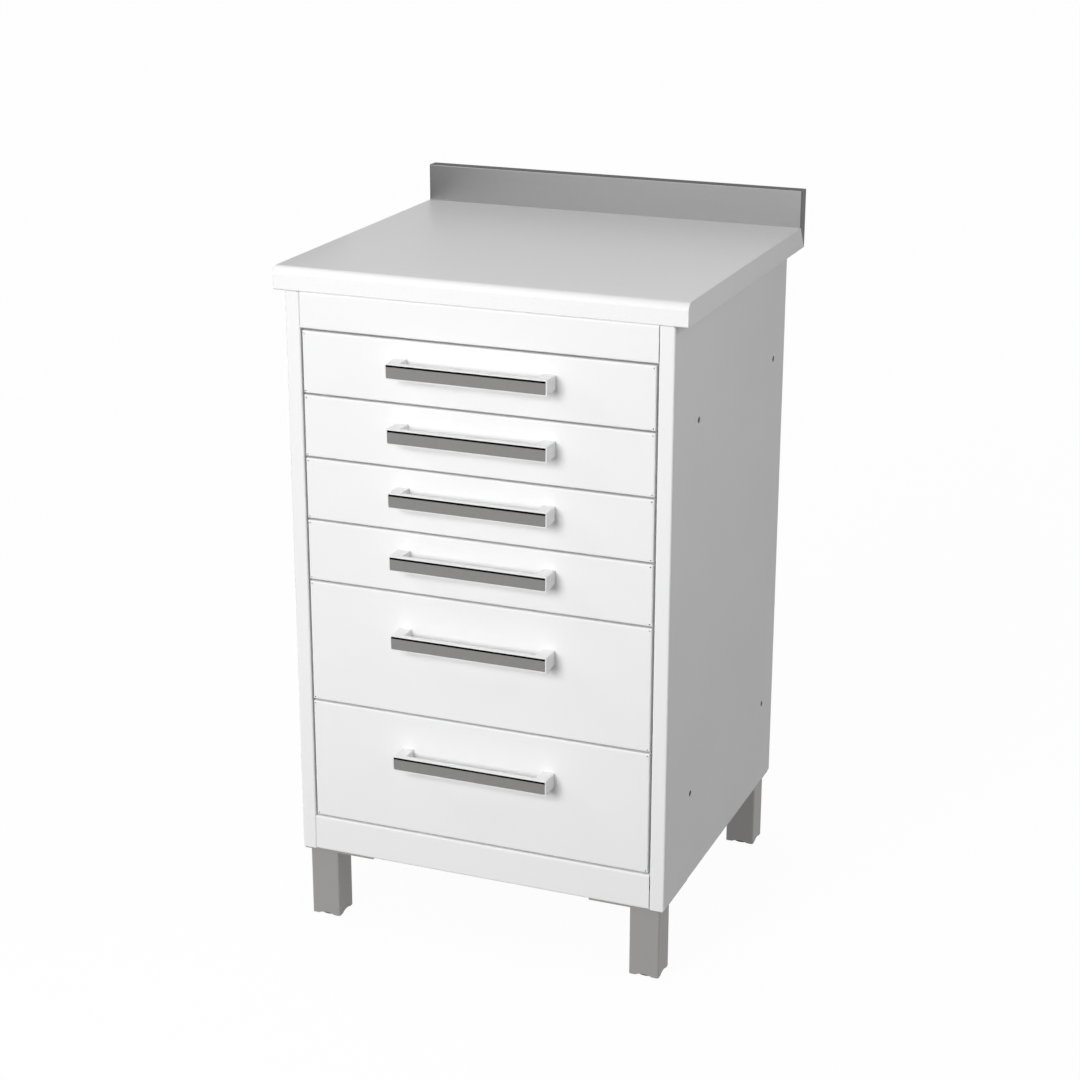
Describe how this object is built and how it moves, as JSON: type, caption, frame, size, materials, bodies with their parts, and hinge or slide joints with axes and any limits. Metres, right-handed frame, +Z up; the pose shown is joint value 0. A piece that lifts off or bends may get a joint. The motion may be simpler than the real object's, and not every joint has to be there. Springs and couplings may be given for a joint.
{
  "type": "clinic drawer cabinet with worktop",
  "caption": "Floor-standing clinic cabinet of folded sheet steel with shallow and deep pull-out drawers, bow handles, a post-formed worktop, a splashback and square legs.",
  "frame": {"origin": "on the floor, under the middle of the bounding box", "axes": "+X to the right as seen from the front, +Y towards the back, +Z up"},
  "size_m": [0.531, 0.5138, 0.9235],
  "materials": {
    "white_paint": "satin white powder coat on folded steel sheet",
    "tray_paint": "satin light grey powder coat",
    "leg_paint": "satin metallic grey powder coat",
    "worktop_laminate": "white post-formed laminate, satin",
    "splash_aluminium": "satin anodised extrusion",
    "cap_plastic": "dark grey moulded cap",
    "handle_plastic": "white moulding, low gloss",
    "insert_plastic": "mid grey strip, satin",
    "zinc_steel": "bright zinc plate",
    "foot_plastic": "dark grey levelling foot"
  },
  "bodies": {
    "carcass": {"side_left": "white_paint", "side_right": "white_paint", "back_panel": "white_paint", "base_panel": "white_paint", "top_frame": "white_paint", "worktop": "worktop_laminate", "splashback": "splash_aluminium", "splash_caps": "cap_plastic", "cabinet_rails": "zinc_steel", "worktop_screws": "zinc_steel", "leg_front_left": "leg_paint", "leg_front_right": "leg_paint", "leg_rear_left": "leg_paint", "leg_rear_right": "leg_paint"},
    "foot_front_left": {"foot_front_left": "foot_plastic"},
    "foot_front_right": {"foot_front_right": "foot_plastic"},
    "foot_rear_left": {"foot_rear_left": "foot_plastic"},
    "foot_rear_right": {"foot_rear_right": "foot_plastic"},
    "drawer_1": {"drawer_1_front": "white_paint", "drawer_1_tray": "tray_paint", "drawer_1_handle": "handle_plastic", "drawer_1_insert": "insert_plastic", "drawer_1_screws": "zinc_steel", "drawer_1_rails": "zinc_steel"},
    "slide_1": {"middle_rails_1": "zinc_steel"},
    "drawer_2": {"drawer_2_front": "white_paint", "drawer_2_tray": "tray_paint", "drawer_2_handle": "handle_plastic", "drawer_2_insert": "insert_plastic", "drawer_2_screws": "zinc_steel", "drawer_2_rails": "zinc_steel"},
    "slide_2": {"middle_rails_2": "zinc_steel"},
    "drawer_3": {"drawer_3_front": "white_paint", "drawer_3_tray": "tray_paint", "drawer_3_handle": "handle_plastic", "drawer_3_insert": "insert_plastic", "drawer_3_screws": "zinc_steel", "drawer_3_rails": "zinc_steel"},
    "slide_3": {"middle_rails_3": "zinc_steel"},
    "drawer_4": {"drawer_4_front": "white_paint", "drawer_4_tray": "tray_paint", "drawer_4_handle": "handle_plastic", "drawer_4_insert": "insert_plastic", "drawer_4_screws": "zinc_steel", "drawer_4_rails": "zinc_steel"},
    "slide_4": {"middle_rails_4": "zinc_steel"},
    "drawer_5": {"drawer_5_front": "white_paint", "drawer_5_tray": "tray_paint", "drawer_5_handle": "handle_plastic", "drawer_5_insert": "insert_plastic", "drawer_5_screws": "zinc_steel", "drawer_5_rails": "zinc_steel"},
    "slide_5": {"middle_rails_5": "zinc_steel"},
    "drawer_6": {"drawer_6_front": "white_paint", "drawer_6_tray": "tray_paint", "drawer_6_handle": "handle_plastic", "drawer_6_insert": "insert_plastic", "drawer_6_screws": "zinc_steel", "drawer_6_rails": "zinc_steel"},
    "slide_6": {"middle_rails_6": "zinc_steel"}
  },
  "joints": [
    {"name": "drawer_1_travel", "type": "slide", "parent": "carcass", "child": "drawer_1", "axis": [0, -1, 0], "range_m": [0, 0.38]},
    {"name": "slide_1_travel", "type": "slide", "parent": "carcass", "child": "slide_1", "axis": [0, -1, 0], "range_m": [0, 0.19]},
    {"name": "drawer_2_travel", "type": "slide", "parent": "carcass", "child": "drawer_2", "axis": [0, -1, 0], "range_m": [0, 0.38]},
    {"name": "slide_2_travel", "type": "slide", "parent": "carcass", "child": "slide_2", "axis": [0, -1, 0], "range_m": [0, 0.19]},
    {"name": "drawer_3_travel", "type": "slide", "parent": "carcass", "child": "drawer_3", "axis": [0, -1, 0], "range_m": [0, 0.38]},
    {"name": "slide_3_travel", "type": "slide", "parent": "carcass", "child": "slide_3", "axis": [0, -1, 0], "range_m": [0, 0.19]},
    {"name": "drawer_4_travel", "type": "slide", "parent": "carcass", "child": "drawer_4", "axis": [0, -1, 0], "range_m": [0, 0.38]},
    {"name": "slide_4_travel", "type": "slide", "parent": "carcass", "child": "slide_4", "axis": [0, -1, 0], "range_m": [0, 0.19]},
    {"name": "drawer_5_travel", "type": "slide", "parent": "carcass", "child": "drawer_5", "axis": [0, -1, 0], "range_m": [0, 0.38]},
    {"name": "slide_5_travel", "type": "slide", "parent": "carcass", "child": "slide_5", "axis": [0, -1, 0], "range_m": [0, 0.19]},
    {"name": "drawer_6_travel", "type": "slide", "parent": "carcass", "child": "drawer_6", "axis": [0, -1, 0], "range_m": [0, 0.38]},
    {"name": "slide_6_travel", "type": "slide", "parent": "carcass", "child": "slide_6", "axis": [0, -1, 0], "range_m": [0, 0.19]},
    {"name": "foot_front_left_level", "type": "slide", "parent": "carcass", "child": "foot_front_left", "axis": [0, 0, -1], "range_m": [0, 0.012]},
    {"name": "foot_front_right_level", "type": "slide", "parent": "carcass", "child": "foot_front_right", "axis": [0, 0, -1], "range_m": [0, 0.012]},
    {"name": "foot_rear_left_level", "type": "slide", "parent": "carcass", "child": "foot_rear_left", "axis": [0, 0, -1], "range_m": [0, 0.012]},
    {"name": "foot_rear_right_level", "type": "slide", "parent": "carcass", "child": "foot_rear_right", "axis": [0, 0, -1], "range_m": [0, 0.012]}
  ],
  "couplings": [
    {"joint": "slide_1_travel", "follows": "drawer_1_travel", "ratio": 0.5},
    {"joint": "slide_2_travel", "follows": "drawer_2_travel", "ratio": 0.5},
    {"joint": "slide_3_travel", "follows": "drawer_3_travel", "ratio": 0.5},
    {"joint": "slide_4_travel", "follows": "drawer_4_travel", "ratio": 0.5},
    {"joint": "slide_5_travel", "follows": "drawer_5_travel", "ratio": 0.5},
    {"joint": "slide_6_travel", "follows": "drawer_6_travel", "ratio": 0.5}
  ]
}
